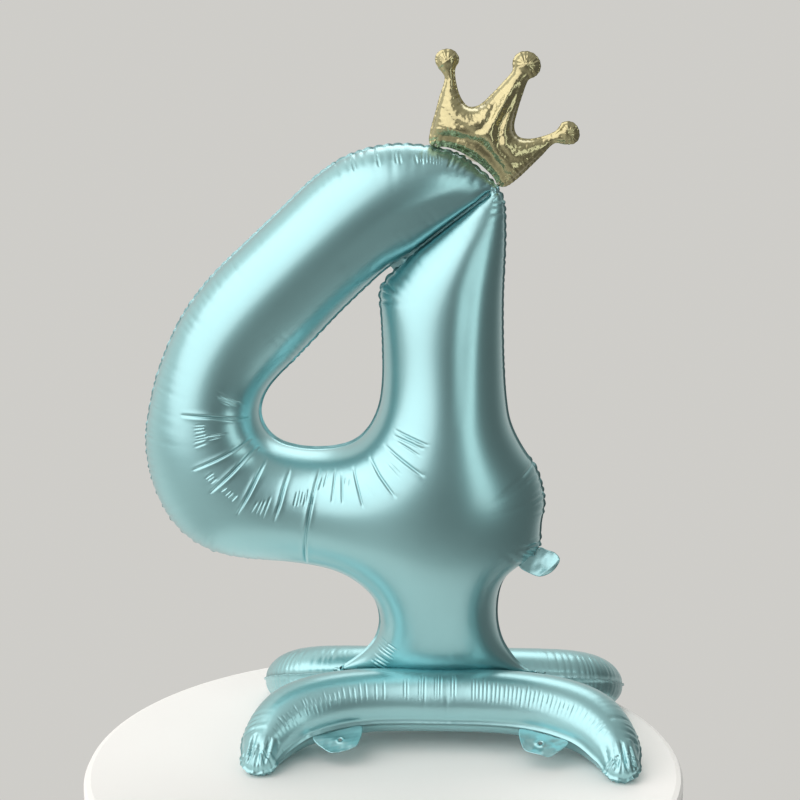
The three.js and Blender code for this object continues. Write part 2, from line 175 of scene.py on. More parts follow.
def inside(points, loops):
    """Which points lie inside the loops, by counting the loop sides to their right."""
    order = np.argsort(points[:, 1])
    rows = points[order, 1]
    odd = np.zeros(len(points), bool)
    for loop in loops:
        for (x0, y0), (x1, y1) in zip(loop, np.roll(loop, -1, 0)):
            if y0 == y1:
                continue
            low, high = np.searchsorted(rows, sorted((y0, y1)))
            hit = order[low:high]
            crossing = x0 + (points[hit, 1] - y0) * (x1 - x0) / (y1 - y0)
            odd[hit] ^= points[hit, 0] < crossing
    return odd


def hexagonal(loops, spacing):
    """Points on a grid of even triangles, inside the loops."""
    low, high = loops[0].min(0), loops[0].max(0)
    rows = []
    for k, y in enumerate(np.arange(low[1], high[1], spacing * math.sqrt(0.75))):
        row = np.arange(low[0] + (k % 2) * spacing / 2, high[0], spacing)
        rows.append(np.stack([row, np.full(len(row), y)], 1))
    grid = np.vstack(rows)
    return grid[inside(grid, loops)]


def thinned(layers):
    """Joins layers of points, leaving out any that crowd the layers before them."""
    kept = layers[0][0]
    for points, room in layers[1:]:
        if len(points):
            kept = np.vstack([kept, points[nearest(points, kept)[1] > room]])
    return kept


def loop_frame(loop):
    """An anticlockwise outline's outward unit normals, smoothed curvature and spacing."""
    ahead = np.roll(loop, -1, 0) - np.roll(loop, 1, 0)
    tangent = ahead / np.linalg.norm(ahead, axis=1)[:, None]
    normal = np.stack([tangent[:, 1], -tangent[:, 0]], 1)
    spacing = np.linalg.norm(np.roll(loop, -1, 0) - loop, axis=1).mean()
    angle = np.unwrap(np.arctan2(tangent[:, 1], tangent[:, 0]))
    turn = np.angle(np.exp(1j * (np.roll(angle, -1) - angle))) / spacing
    kernel = np.hanning(2 * round(CURVE_SPAN / spacing) + 1)
    reach = len(kernel) // 2
    wrapped = np.r_[turn[-reach:], turn, turn[:reach]]
    return normal, np.convolve(wrapped, kernel / kernel.sum(), "valid"), spacing


def triangulate(points, loops):
    """Triangles between points that begin with the loops: points, faces and each point's source."""
    edges = []
    start = 0
    for loop in loops:
        count = len(loop)
        edges += [(start + i, start + (i + 1) % count) for i in range(count)]
        start += count
    out = delaunay_2d_cdt([Vector(p) for p in points], edges, [], 1, 1e-5)
    flat = np.array(out[0])
    faces = np.array([face for face in out[2] if len(face) == 3])
    source = np.array([original[0] if original else -1 for original in out[3]])
    middle = flat[faces].mean(1)
    faces = faces[inside(middle, loops)]
    x, y = flat[faces].transpose(2, 0, 1)
    area = (x[:, 1] - x[:, 0]) * (y[:, 2] - y[:, 0]) - (x[:, 2] - x[:, 0]) * (y[:, 1] - y[:, 0])
    faces[area < 0] = faces[area < 0][:, ::-1]
    return flat, faces[np.abs(area) > 1e-6], source


def membrane(flat, faces, free):
    """Solves Poisson's equation with a unit load, zero wherever free is False.

    The cotangent weights of the triangles give the equations, solved by conjugate gradients.
    """
    count = len(flat)
    first, second, weight = [], [], []
    load = np.zeros(count)
    for k in range(3):
        corner, i, j = faces[:, k], faces[:, (k + 1) % 3], faces[:, (k + 2) % 3]
        u, v = flat[i] - flat[corner], flat[j] - flat[corner]
        cross = np.abs(u[:, 0] * v[:, 1] - u[:, 1] * v[:, 0])
        first.append(i)
        second.append(j)
        weight.append((u * v).sum(1) / (2 * cross))
        load += np.bincount(corner, cross / 6, count)
    i, j = np.concatenate(first), np.concatenate(second)
    weight = np.concatenate(weight)
    diagonal = np.bincount(i, weight, count) + np.bincount(j, weight, count)
    diagonal[diagonal <= 0] = 1
    value, residual = np.zeros(count), load * free
    direction = residual / diagonal
    product = residual @ direction
    small_enough = product * 1e-8
    for _ in range(2500):
        pushed = diagonal * direction - np.bincount(i, weight * direction[j], count)
        pushed -= np.bincount(j, weight * direction[i], count)
        pushed *= free
        share = product / (direction @ pushed)
        value += share * direction
        residual -= share * pushed
        scaled = residual / diagonal
        previous, product = product, residual @ scaled
        if product < small_enough:
            break
        direction = scaled + product / previous * direction
    return np.maximum(value, 0)


class Chamber:
    """An inflated chamber's fine mesh, with the bulge and the distance from the weld at its points."""

    def __init__(self, node, seam, fullness, spacing, creases=(), edge_spacing=1.8):
        self.seam = seam
        self.loops = [smooth_outline(loop, edge_spacing) for loop in outlines_of(node, seam)]
        self.edge = np.vstack(self.loops)
        # The outer loop runs anticlockwise round the film; a hole's loop runs round a hole in it.
        signs = [1] + [-1] * (len(self.loops) - 1)
        normals, curvatures, spacings = zip(*[loop_frame(loop) for loop in self.loops])
        self.outward = np.vstack([sign * normal for sign, normal in zip(signs, normals)])
        self.curvature = np.concatenate([sign * curve for sign, curve in zip(signs, curvatures)])
        self.along = np.concatenate([np.arange(len(loop)) * step
                                     for loop, step in zip(self.loops, spacings)])
        start = np.cumsum([0] + [len(loop) for loop in self.loops])
        self.ring = [np.arange(start[k], start[k + 1]) for k in range(len(self.loops))]
        layers = [(self.edge, 0), *self.weld_rows(), *self.crease_layer(creases),
                  (hexagonal(self.loops, spacing), spacing * 0.62)]
        self.flat, self.faces, self.source = triangulate(thinned(layers), self.loops)
        self.near, self.depth = nearest(self.flat, self.edge)
        free = self.depth > FLANGE + 0.05
        self.bulge = fullness * np.sqrt(2 * membrane(self.flat, self.faces, free))

    def weld_rows(self):
        """Rows of points that follow every weld, close together near it."""
        rows = []
        for depth in ROW_DEPTHS:
            for ring in self.ring:
                row = self.edge[ring] - self.outward[ring] * depth
                row = row[inside(row, self.loops)]
                clear = nearest(row, self.edge)[1] > depth * 0.93
                rows.append((row[clear], 0.6 if depth < 8 else 1.2))
        return rows

    def crease_layer(self, creases):
        if not creases:
            return []
        rows = np.vstack([crease_rows(crease) for crease in creases])
        rows = rows[inside(rows, self.loops)]
        return [(rows[nearest(rows, self.edge)[1] > FLANGE + 1], 0.8)]


# ---- Creases ----------------------------------------------------------------------------------


def crease_rows(crease):
    """Extra mesh points on a crease and beside it."""
    line, _, width = crease
    line = even_steps(np.array(line, float), 1.9)
    side = sideways(line)
    return np.vstack([line + side * width * k for k in (0, 0.9, -0.9, 1.9, -1.9, 3.2, -3.2)])


def crease_heights(flat, creases):
    """How far the creases move every point along the film's normal."""
    height = np.zeros(len(flat))
    for line, depth, width in creases:
        line = even_steps(np.array(line, float), 2.0)
        low, high = line.min(0) - 6 * width, line.max(0) + 6 * width
        close = np.flatnonzero(((flat > low) & (flat < high)).all(1))
        if not len(close):
            continue
        start, span = line[:-1], np.diff(line, axis=0)
        offset = flat[close][:, None] - start
        share = np.clip((offset * span).sum(2) / (span ** 2).sum(1), 0, 1)
        gap = np.linalg.norm(offset - share[..., None] * span, axis=2)
        pick = gap.argmin(1)
        row = np.arange(len(close))
        at = (pick + share[row, pick]) / len(span)
        x = gap[row, pick] / width
        taper = np.sin(np.pi * np.clip(at, 0.001, 0.999)) ** 0.6
        if width > BROAD:
            profile = -np.exp(-x * x)
        else:
            profile = -np.exp(-x) + 0.42 * np.exp(-((x - 2.1) / 1.1) ** 2)
        height[close] += depth * taper * profile
    return height


def fan(first, last, count, depth, width, rng, wander=0.25):
    """A group of creases between two lines, uneven in place, length and depth."""
    first, last = np.array(first, float), np.array(last, float)
    creases = []
    for k in range(count):
        share = (k + rng.uniform(-wander, wander)) / max(count - 1, 1)
        line = first + (last - first) * share
        trim = rng.uniform(0, 0.22, 2)
        whole = line[-1] - line[0]
        line = line.copy()
        line[0] += whole * trim[0]
        line[-1] -= whole * trim[1]
        creases.append((line, depth * rng.uniform(0.55, 1.15), width * rng.uniform(0.8, 1.2)))
    return creases


# ---- Puckers along the welds ------------------------------------------------------------------


class Puckers:
    """Folds that gather the film along its weld, stronger where the outline is convex."""

    def __init__(self, chamber, rng, pitch, everywhere, convex):
        count = len(chamber.edge)
        self.place = np.zeros(count)  # distance to the nearest groove
        self.gap = np.ones(count)  # distance between the grooves on both sides
        self.strength = np.zeros(count)
        self.arch = np.zeros(count)  # 0 at a groove and 1 halfway to the next
        self.swing = np.zeros(count)  # how the flange waves out of its plane
        self.reach = np.ones(count)  # how far the nearest groove runs in
        for ring in chamber.ring:
            along = chamber.along[ring]
            total = along[-1] + along[1]
            at = np.cumsum(rng.uniform(0.6, 1.4, int(total / pitch)))
            at = np.r_[0, at / at[-1] * total]
            count = len(at)
            force = rng.uniform(0.35, 1.0, count)
            force[-1] = force[0]
            swing = rng.uniform(0.4, 1.0, count) * np.where(np.arange(count) % 2, 1, -1)
            swing[-1] = swing[0]
            length = rng.uniform(0.6, 1.5, count)
            cell = np.clip(np.searchsorted(at, along, "right") - 1, 0, count - 2)
            gap = at[cell + 1] - at[cell]
            share = (along - at[cell]) / gap
            self.gap[ring] = gap
            self.place[ring] = np.minimum(share, 1 - share) * gap
            closest = cell + (share > 0.5)
            gathered = everywhere + convex * np.clip(chamber.curvature[ring] / CONVEX, -1, 1.6)
            self.strength[ring] = force[closest] * np.clip(gathered, 0, 1.4)
            self.arch[ring] = 1 - (2 * share - 1) ** 2
            self.swing[ring] = swing[cell] * np.sin(np.pi * share) * np.clip(gathered, 0.1, 1.2)
            self.reach[ring] = length[closest]


# ---- Films ------------------------------------------------------------------------------------


def relaxed(heights, faces, rounds):
    """Heights evened out with their neighbours, as stretched film does over sharp folds."""
    first, second = faces.ravel(), np.roll(faces, -1, axis=1).ravel()
    shared = np.bincount(first, minlength=len(heights))
    for _ in range(rounds):
        around = np.bincount(first, heights[second], len(heights)) / np.maximum(shared, 1)
        heights = 0.4 * heights + 0.6 * around
    return heights


def inner_face(chamber, side, bulge):
    """A coarse face that lies below everything the outer face does nearby, and its points' sources."""
    coarse = hexagonal(chamber.loops, INNER_CELL)
    coarse = coarse[nearest(coarse, chamber.edge)[1] > 3.0]
    flat, faces, source = triangulate(np.vstack([chamber.edge, coarse]), chamber.loops)
    low = chamber.flat.min(0) - 2 * INNER_CELL
    size = np.ceil((chamber.flat.max(0) + 2 * INNER_CELL - low) / INNER_CELL).astype(int) + 1
    lowest = np.full(size, 1e9)
    at = ((chamber.flat - low) / INNER_CELL).astype(int)
    np.minimum.at(lowest, (at[:, 0], at[:, 1]), bulge)
    padded = np.pad(lowest, 1, constant_values=1e9)
    spot = ((flat - low) / INNER_CELL).astype(int)
    under = np.min([padded[spot[:, 0] + 1 + i, spot[:, 1] + 1 + j]
                    for i in (-1, 0, 1) for j in (-1, 0, 1)], 0)
    on_edge = np.isin(source, np.arange(len(chamber.edge)))
    under = np.where(on_edge, 0, np.maximum(under - 1.0, -0.3))
    return flat, faces, source, side * (0.02 + under)


def edge_points(source, chamber):
    """The mesh's points on the chamber's edge, in the edge's own order."""
    found = np.flatnonzero(np.isin(source, np.arange(len(chamber.edge))))
    return found[np.argsort(source[found])]


def film(name, chamber, side, body, material, replaced, puckers, creases=(), shift=None,
         pucker_depth=0.5, pucker_length=10.0, scallop=1.0, wave=0.8, relax=0):
    """One film of a chamber as a closed thin shell: a fine outer face over a coarse inner one."""
    near, depth = chamber.near, chamber.depth
    dome = np.maximum(depth - FLANGE, 0)
    groove = np.exp(-puckers.place[near] / (0.9 + 0.16 * dome))
    fade = np.exp(-dome / (pucker_length * puckers.reach[near]))
    strength = puckers.strength[near]
    bulge = chamber.bulge * (1 - pucker_depth * np.clip(strength, 0, 1.2) * groove * fade)
    pillow = puckers.arch[near] * strength * fade * np.minimum(dome / 3, 1)
    bulge = bulge + 0.08 * puckers.gap[near] * pillow
    bulge += crease_heights(chamber.flat, creases) * np.clip(dome / 6, 0, 1)
    bulge = np.maximum(relaxed(bulge, chamber.faces, relax), 0)

    # The flange's edge is scalloped in its plane and waves out of it.
    edge_share = np.clip(1 - depth / (FLANGE + 4), 0, 1)
    bow = scallop * np.sqrt(strength) * (puckers.arch[near] - 0.45) * edge_share
    flat = chamber.flat + chamber.outward[near] * bow[:, None]
    ripple = wave * puckers.swing[near] * edge_share
    if shift is not None:
        flat = flat + shift(chamber.flat, bulge)
    # The film's thickness grows from 0.3 at the weld to the CAD film's 1.0 where it bulges.
    height = side * (HALF_GAP + 0.3 + bulge + 0.7 * np.clip(bulge / 6, 0, 1)) + ripple
    outer = chamber.seam.place(flat, height)

    inner_flat, inner_faces, inner_source, inner_height = inner_face(chamber, side, bulge)
    link, _ = nearest(inner_flat, chamber.flat)
    inner = chamber.seam.place(inner_flat + (flat - chamber.flat)[link], inner_height + ripple[link])
    count = len(outer)
    points = np.vstack([outer, inner])
    points[:, 2] = np.maximum(points[:, 2], 0)  # nothing goes below the floor
    faces = [chamber.faces if side > 0 else chamber.faces[:, ::-1],
             (inner_faces[:, ::-1] if side > 0 else inner_faces) + count]
    rim = edge_points(chamber.source, chamber)
    inner_rim = edge_points(inner_source, chamber) + count
    for number, ring in enumerate(chamber.ring):
        top, bottom = rim[ring], inner_rim[ring]
        if (number == 0) != (side > 0):
            top, bottom = top[::-1], bottom[::-1]
        faces += [np.stack([top, bottom, np.roll(bottom, -1)], 1),
                  np.stack([top, np.roll(bottom, -1), np.roll(top, -1)], 1)]
    return piece(name, points, np.vstack(faces), body, material, replaced)


def shell(name, outline, holes, seam, height, thickness, spacing, body, material, replaced=()):
    """A sheet of film as a closed thin solid over an outline; height gives its middle surface."""
    loops = [outline, *holes]
    layers = [(np.vstack(loops), 0), (hexagonal(loops, spacing), spacing * 0.55)]
    flat, faces, source = triangulate(thinned(layers), loops)
    middle = height(flat)
    count = len(flat)
    points = np.vstack([seam.place(flat, middle + thickness / 2),
                        seam.place(flat, middle - thickness / 2)])
    parts = [faces, faces[:, ::-1] + count]
    start = 0
    order = np.argsort(np.where(source < 0, 10 ** 9, source))  # the loops' points come first
    for number, loop in enumerate(loops):
        ring = order[start:start + len(loop)]
        if number:
            ring = ring[::-1]
        following = np.roll(ring, -1)
        parts += [np.stack([ring, ring + count, following + count], 1),
                  np.stack([ring, following + count, following], 1)]
        start += len(loop)
    return piece(name, points, np.vstack(parts), body, material, replaced)


def ruffle(flat, scale, seed):
    """Smooth uneven noise over a sheet, about -1 to 1."""
    waves = np.random.default_rng(seed)
    total = np.zeros(len(flat))
    for k in range(7):
        turn, phase = waves.uniform(0, 2 * math.pi, 2)
        size = scale * waves.uniform(0.6, 1.8)
        total += np.sin((flat @ (math.cos(turn), math.sin(turn))) / size * 2 * math.pi + phase)
    return total / 3.5


def add_object(name, data):
    made = bpy.data.objects.new(name, data)
    bpy.context.scene.collection.objects.link(made)
    return made


def piece(name, points, faces, body, material, replaced=()):
    """A visible piece that rides a body; where body is a tuple, its contents are not used and the piece
    is only baked in place, riding no body.
    """
    mesh = bpy.data.meshes.new(name)
    mesh.from_pydata(points * MM, [], faces.tolist())
    mesh.validate()
    mesh.shade_smooth()
    mesh.materials.append(material)
    made = add_object(name, mesh)
    if isinstance(body, tuple):
        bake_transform(made)
    else:
        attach(made, body)
    if replaced:
        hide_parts(*replaced)
    return made


# ---- Materials --------------------------------------------------------------------------------


def new_material(name):
    """A new material and its Principled shader."""
    material = bpy.data.materials.new(name)
    material.use_nodes = True
    return material, material.node_tree.nodes["Principled BSDF"]


def noise(tree, scale, detail=2, place=None):
    node = tree.nodes.new("ShaderNodeTexNoise")
    node.inputs["Scale"].default_value = scale
    node.inputs["Detail"].default_value = detail
    if place:
        tree.links.new(place, node.inputs["Vector"])
    return node.outputs["Fac"]


def spread(tree, source, low, high):
    """Stretches a noise to the range from low to high."""
    node = tree.nodes.new("ShaderNodeMapRange")
    node.inputs["To Min"].default_value = low
    node.inputs["To Max"].default_value = high
    tree.links.new(source, node.inputs["Value"])
    return node.outputs["Result"]


def foil(name, base, roughness, coat, mottle, grain):
    """Metallised film under a clear lacquer, with a faint unevenness in tone and gloss."""
    material, shader = new_material(name)
    shader.inputs["Metallic"].default_value = 1.0
    shader.inputs["Coat Weight"].default_value = coat[0]
    shader.inputs["Coat Roughness"].default_value = coat[1]
    shader.inputs["Coat IOR"].default_value = coat[2]
    tree = material.node_tree
    place = tree.nodes.new("ShaderNodeTexCoord").outputs["Object"]
    tone = tree.nodes.new("ShaderNodeMix")
    tone.data_type = "RGBA"
    tone.inputs["A"].default_value = (*[c * (1 - mottle) for c in base], 1)
    tone.inputs["B"].default_value = (*[min(c * (1 + mottle), 1) for c in base], 1)
    tree.links.new(noise(tree, 14, 3, place), tone.inputs["Factor"])
    tree.links.new(tone.outputs["Result"], shader.inputs["Base Color"])
    gloss = spread(tree, noise(tree, 220, 4, place), roughness - 0.03, roughness + 0.03)
    tree.links.new(gloss, shader.inputs["Roughness"])
    bump = tree.nodes.new("ShaderNodeBump")
    bump.inputs["Strength"].default_value = grain
    bump.inputs["Distance"].default_value = 0.0004
    tree.links.new(noise(tree, 420, 3, place), bump.inputs["Height"])
    tree.links.new(bump.outputs["Normal"], shader.inputs["Normal"])
    return material


def clear_plastic(name, colour, roughness):
    """Pale see-through plastic, a little uneven in gloss."""
    material, shader = new_material(name)
    shader.inputs["Base Color"].default_value = (*colour, 1)
    shader.inputs["Transmission Weight"].default_value = 0.6
    tree = material.node_tree
    gloss = spread(tree, noise(tree, 90), roughness - 0.05, roughness + 0.05)
    tree.links.new(gloss, shader.inputs["Roughness"])
    return material


teal = foil("teal_foil", (0.315, 0.60, 0.63), 0.35, (0.6, 0.22, 2.0), 0.05, 0.06)
gold = foil("gold_foil", (0.46, 0.42, 0.225), 0.24, (0.5, 0.1, 1.6), 0.04, 0.01)
valve_film = clear_plastic("valve_film", (0.87, 0.90, 0.91), 0.2)
glue = clear_plastic("glue", (0.91, 0.90, 0.85), 0.5)

# ---- Digit ------------------------------------------------------------------------------------

rng = np.random.default_rng(4)  # one stream of draws for every chamber's creases and puckers
DIGIT_SEAM = Seam((0, 0, 0), (1, 0, 0), (0, 0, 1))

# Long creases that radiate from the counter, as points, depth and width. The points are in the
# digit's seam plane: x from the middle of the balloon and height above the floor.
COUNTER_CREASES = [
    ([(-268, 452), (-230, 450), (-206, 447), (-181, 443)], 3.0, 1.5),
    ([(-253, 381), (-222, 395), (-196, 408), (-177, 420)], 2.6, 1.3),
    ([(-231, 351), (-204, 376), (-183, 397), (-169, 409)], 2.8, 1.4),
    ([(-196, 323), (-181, 349), (-169, 373), (-158, 393)], 3.0, 1.4),
    ([(-148, 315), (-140, 338), (-134, 362), (-128, 380)], 2.8, 1.4),
    ([(-89, 382), (-94, 363), (-99, 339), (-105, 307), (-107, 295), (-109, 268), (-110, 248)],
     3.0, 1.5),
    ([(-69, 380), (-70, 364), (-72, 342)], 1.6, 1.1),
    ([(-60, 377), (-59, 362), (-58, 342)], 1.8, 1.1),
    ([(-45, 385), (-40, 368), (-31, 340)], 2.4, 1.3),
    ([(-24, 400), (-10, 379), (10, 355)], 2.8, 1.5),
    ([(-4, 416), (19, 400), (46, 382)], 2.8, 1.5),
    ([(9, 436), (31, 428), (52, 420)], 2.2, 1.2),
    ([(7, 429), (29, 422), (46, 415)], 2.0, 1.2),
    ([(12, 422), (27, 415), (42, 407)], 1.6, 1.1),
]
# Groups of fine creases between the long ones: first line, last line, count, depth and width.
COUNTER_FANS = [
    ([(-224, 486), (-183, 465)], [(-225, 475), (-197, 461)], 4, 1.0, 0.9),
    ([(-253, 440), (-232, 441)], [(-250, 412), (-230, 419)], 7, 0.8, 0.9),
    ([(-238, 425), (-206, 429)], [(-238, 420), (-208, 426)], 2, 0.8, 0.9),
    ([(-237, 371), (-224, 380)], [(-230, 364), (-219, 373)], 3, 0.9, 0.9),
    ([(-217, 352), (-206, 360)], [(-204, 340), (-193, 352)], 4, 0.9, 0.9),
    ([(-177, 325), (-166, 345)], [(-163, 318), (-151, 350)], 4, 1.0, 0.9),
    ([(-122, 332), (-116, 360)], [(-101, 336), (-98, 360)], 6, 1.0, 0.9),
    ([(-90, 352), (-84, 376)], [(-82, 358), (-78, 380)], 4, 0.9, 0.9),
    ([(-56, 362), (-54, 378)], [(-50, 362), (-49, 376)], 2, 0.7, 0.9),
    ([(-30, 368), (-18, 350)], [(-24, 368), (-13, 352)], 2, 0.7, 0.9),
    ([(-4, 396), (20, 373)], [(0, 400), (24, 380)], 2, 0.8, 0.9),
]
# Broad folds that run down from the digit's apex, above and below the slit.
APEX_FOLDS = [
    ([(134, 722), (120, 672), (103, 612), (96, 540), (95, 440)], 1.6, 13.0),
    ([(116, 736), (60, 718), (0, 690), (-60, 640)], 1.5, 12.0),
]
# Short puckers on the digit's top edge, and two more fans: at the top and by the lower bulge.
TOP_PUCKERS = [((-50, 781), (-43, 762)), ((-17, 787), (-12, 768)), ((7, 787), (10, 772)),
               ((12, 787), (15, 772)), ((32, 784), (35, 772)), ((80, 779), (74, 768))]
EDGE_FANS = [
    ([(34, 786), (36, 770)], [(66, 784), (66, 768)], 9, 1.2, 0.9),
    ([(-25, 150), (14, 134)], [(-28, 106), (-2, 92)], 8, 1.4, 1.0),
]
fine_creases = list(COUNTER_CREASES)
for group in COUNTER_FANS:
    fine_creases += fan(*group, rng)
fine_creases += [([start, end], 1.6, 1.1) for start, end in TOP_PUCKERS]
for group in EDGE_FANS:
    fine_creases += fan(*group, rng)

# The slit between the digit's stroke and its column, from its inner end, and its widths there.
SLIT = np.array([(2, 637), (44, 670), (76, 695), (109, 720), (128, 734)], float)
SLIT_WIDTHS = (10.4, 7.4, 6.4, 5.6, 4.6)


def close_slit(flat, bulge):
    """Leans the two lobes beside the slit over their flanges, so that they nearly meet."""
    start, end = np.array([-12.0, 626.0]), np.array([126.0, 733.0])
    span = np.linalg.norm(end - start)
    along = (end - start) / span
    across = np.array([-along[1], along[0]])
    offset = flat - start
    x, y = offset @ along, offset @ across
    fade = np.clip((x - 18) / 40, 0, 1) * np.clip((span - x + 12) / 30, 0, 1)
    away = np.maximum(np.abs(y) - 4, 0)
    lean = 5.0 * np.exp(-((away - 5) / 11) ** 2) * np.clip(bulge / 9, 0, 1) * fade
    return -np.sign(y)[:, None] * lean[:, None] * across


digit = Chamber("digit_front_film", DIGIT_SEAM, 0.88, 3.4, fine_creases)
digit_puckers = Puckers(digit, rng, 11.0, 0.12, 0.75)
for name, side in (("digit_front", 1), ("digit_rear", -1)):
    film(name, digit, side, "digit", teal, [name + "_film"], digit_puckers,
         fine_creases + APEX_FOLDS, close_slit, scallop=3.2, wave=4.2, pucker_length=8)


def web_outline():
    """The outline of the welded film that fills the slit."""
    line = even_steps(SLIT, 2.0)
    side = sideways(line)
    half = np.interp(line[:, 0], SLIT[:, 0], SLIT_WIDTHS)[:, None] / 2
    return np.vstack([line - side * half, (line + side * half)[::-1]])


TACKS = np.array([(20, 648), (45, 670), (73, 696)], float)  # where the lobes pull on the web


def web_height(flat):
    height = 0.25 * ruffle(flat, 9, 3)
    for tack in TACKS:
        height += 2.2 * np.exp(-(np.linalg.norm(flat - tack, axis=1) / 2.4) ** 2)
    return height


shell("digit_web", web_outline(), [], DIGIT_SEAM, web_height, 1.1, 1.6, "digit", teal)

# ---- Crown ------------------------------------------------------------------------------------

CROWN_BASE = np.array([100.9, 773.3])  # middle of the crown's base line
CROWN_RIGHT = np.array([0.8616, -0.5075])  # the crown leans 30.5 degrees to the right
CROWN_UP = np.array([0.5075, 0.8616])


def on_crown(points):
    """Points of the crown's own frame, from the middle of its base line, in the seam plane."""
    points = np.array(points, float)
    return CROWN_BASE + points[:, :1] * CROWN_RIGHT + points[:, 1:] * CROWN_UP


def settle(flat, _bulge):
    """Lets the crown's base, most of all its corners, sag on to the digit."""
    offset = flat - CROWN_BASE
    x, y = offset @ CROWN_RIGHT, offset @ CROWN_UP
    low = np.clip(1 - y / 34, 0, 1) ** 1.5
    sag = np.interp(x, (-60, -40, -10, 25, 45, 60), (5.5, 6, 7.5, 9.3, 7, 2))
    return -(low * sag)[:, None] * CROWN_UP


def edge_pleats(node, seam, chosen, spacing, near, far, depth, width):
    """Pleats across the chosen stretches of a chamber's outline, running straight in from it."""
    step = 0.5
    plain = smooth_outline(outlines_of(node, seam)[0], step)
    outward, curvature = loop_frame(plain)[:2]
    found = []
    travelled = 0.0
    for k in np.flatnonzero(chosen(plain, outward, curvature)):
        travelled += step
        if travelled < spacing * rng.uniform(0.75, 1.25):
            continue
        travelled = 0.0
        start, end = rng.uniform(*near), rng.uniform(*far)
        found.append(([plain[k] - outward[k] * start, plain[k] - outward[k] * end],
                      depth * rng.uniform(0.5, 1.1), width))
    return found


def valley(plain, outward, curvature):
    """The two valleys between the crown's horns."""
    height = (plain - CROWN_BASE) @ CROWN_UP
    return (curvature < 0.002) & (height > 40) & (outward @ CROWN_UP > 0.15)


def base_arch(plain, outward, _curvature):
    """The crown's arched base line, without its corners."""
    offset = plain - CROWN_BASE
    low = (outward @ CROWN_UP < -0.8) & (offset @ CROWN_UP < 15)
    return low & (np.abs(offset @ CROWN_RIGHT) < 46)


def ball_folds(ball, neck):
    """Three folds that fan out over a horn's ball, and one across its neck."""
    ball, neck = np.array(ball), np.array(neck)
    ahead = (ball - neck) / np.linalg.norm(ball - neck)
    aside = np.array([-ahead[1], ahead[0]])
    found = []
    for turn in (-0.9, 0.1, 1.0):
        ray = ahead * math.cos(turn) + aside * math.sin(turn)
        found.append(([ball + ray, ball + ray * 15], 2.6, 2.4))
    found.append(([neck - aside * 9 + ahead * 3, neck, neck + aside * 9 + ahead * 2], 3.0, 2.0))
    return found


# The folds between the base roll and the horns, in the crown's own frame; the last three are ridges.
CROWN_FOLDS = [
    ([(-54, 6), (-40, 17), (-20, 25), (0, 28), (20, 25), (40, 17), (54, 6)], 8.0, 5.0),
    ([(-74, 60), (-64, 42), (-44, 32), (-14, 36), (-3, 50)], 5.0, 3.8),
    ([(-3, 50), (-9, 76), (-8, 112)], 3.2, 3.2),
    ([(7, 120), (7, 88), (10, 56), (22, 36), (46, 28), (62, 42), (74, 64)], 5.6, 3.8),
    ([(84, 92), (72, 76), (62, 60)], 2.2, 2.6),
    ([(-84, 92), (-76, 72), (-68, 56)], 2.2, 2.6),
    ([(0, 30), (0, 60), (1, 110)], -2.4, 4.0),
    ([(0, 30), (-34, 27), (-66, 44), (-82, 84)], -2.2, 4.0),
    ([(0, 30), (34, 26), (64, 42), (82, 84)], -2.2, 4.0),
]
# The middle of every horn's ball and of its neck, in the digit's seam plane.
BALLS = [((70.6, 905.1), (70.7, 891.4)), ((173.1, 899.9), (165.7, 886.3)),
         ((227.8, 813.9), (216.4, 807.6))]

crown_creases = edge_pleats("crown_front_film", DIGIT_SEAM, valley, 4.0, (7, 11), (17, 26), 2.2, 1.1)
crown_creases += edge_pleats("crown_front_film", DIGIT_SEAM, base_arch, 4.2, (10, 13), (19, 23),
                             1.8, 1.1)
crown_creases += [(on_crown(line), depth, width) for line, depth, width in CROWN_FOLDS]
for ball, neck in BALLS:
    crown_creases += ball_folds(ball, neck)
crown = Chamber("crown_front_film", DIGIT_SEAM, 0.8, 1.6, crown_creases, edge_spacing=1.1)
crown_puckers = Puckers(crown, rng, 6.5, 0.2, 0.2)
for name, side in (("crown_front", 1), ("crown_rear", -1)):
    film(name, crown, side, "crown", gold, [name + "_film"], crown_puckers,
         crown_creases, settle, pucker_length=5, pucker_depth=0.25, scallop=0.8, wave=0.6, relax=9)

# ---- Feet -------------------------------------------------------------------------------------

FOOT_LEAN = math.radians(25)
TOE_START = 205  # how far from the middle the arch ends and a toe starts
# Where pleats cross the arch, in groups, along the weld from its middle.
ARCH_PLEATS = [-48, -44, -29, -25.5, -22, -8, -4.5, -1, 14, 18.5, 41, 45, 50, 55, 60,
               -74, -84, -96, -103, -110, -116]


def arch_pleats(plain, outward, curvature):
    """Fine pleats that run in from the weld over the arch, shorter towards the toes."""
    arch = np.flatnonzero((outward[:, 1] < -0.2) & (np.abs(plain[:, 0]) < TOE_START)
                          & (curvature < 0.006) & (plain[:, 1] > -150))
    order = arch[np.argsort(plain[arch, 0])]
    line = plain[order]
    length = lengths_along(line)
    middle = np.interp(0, line[:, 0], length)
    places = [middle + place for place in ARCH_PLEATS]
    places += list(np.arange(middle + 66, length[-1] - 4, 5.2))
    places += list(np.arange(middle - 123, 4, -5.6))
    found = []
    for place in places:
        k = order[min(np.searchsorted(length, place), len(order) - 1)]
        off = abs(place - middle)
        far = np.interp(off, (0, 70, 200), (52, 36, 26)) + rng.uniform(-4, 4)
        near = np.interp(off, (0, 200), (14, 9)) + rng.uniform(-2, 2)
        deep = rng.uniform(0.35, 0.75) * (0.65 if place < middle else 1.0)
        found.append(([plain[k] - outward[k] * near, plain[k] - outward[k] * far], deep, 0.95))
    return found


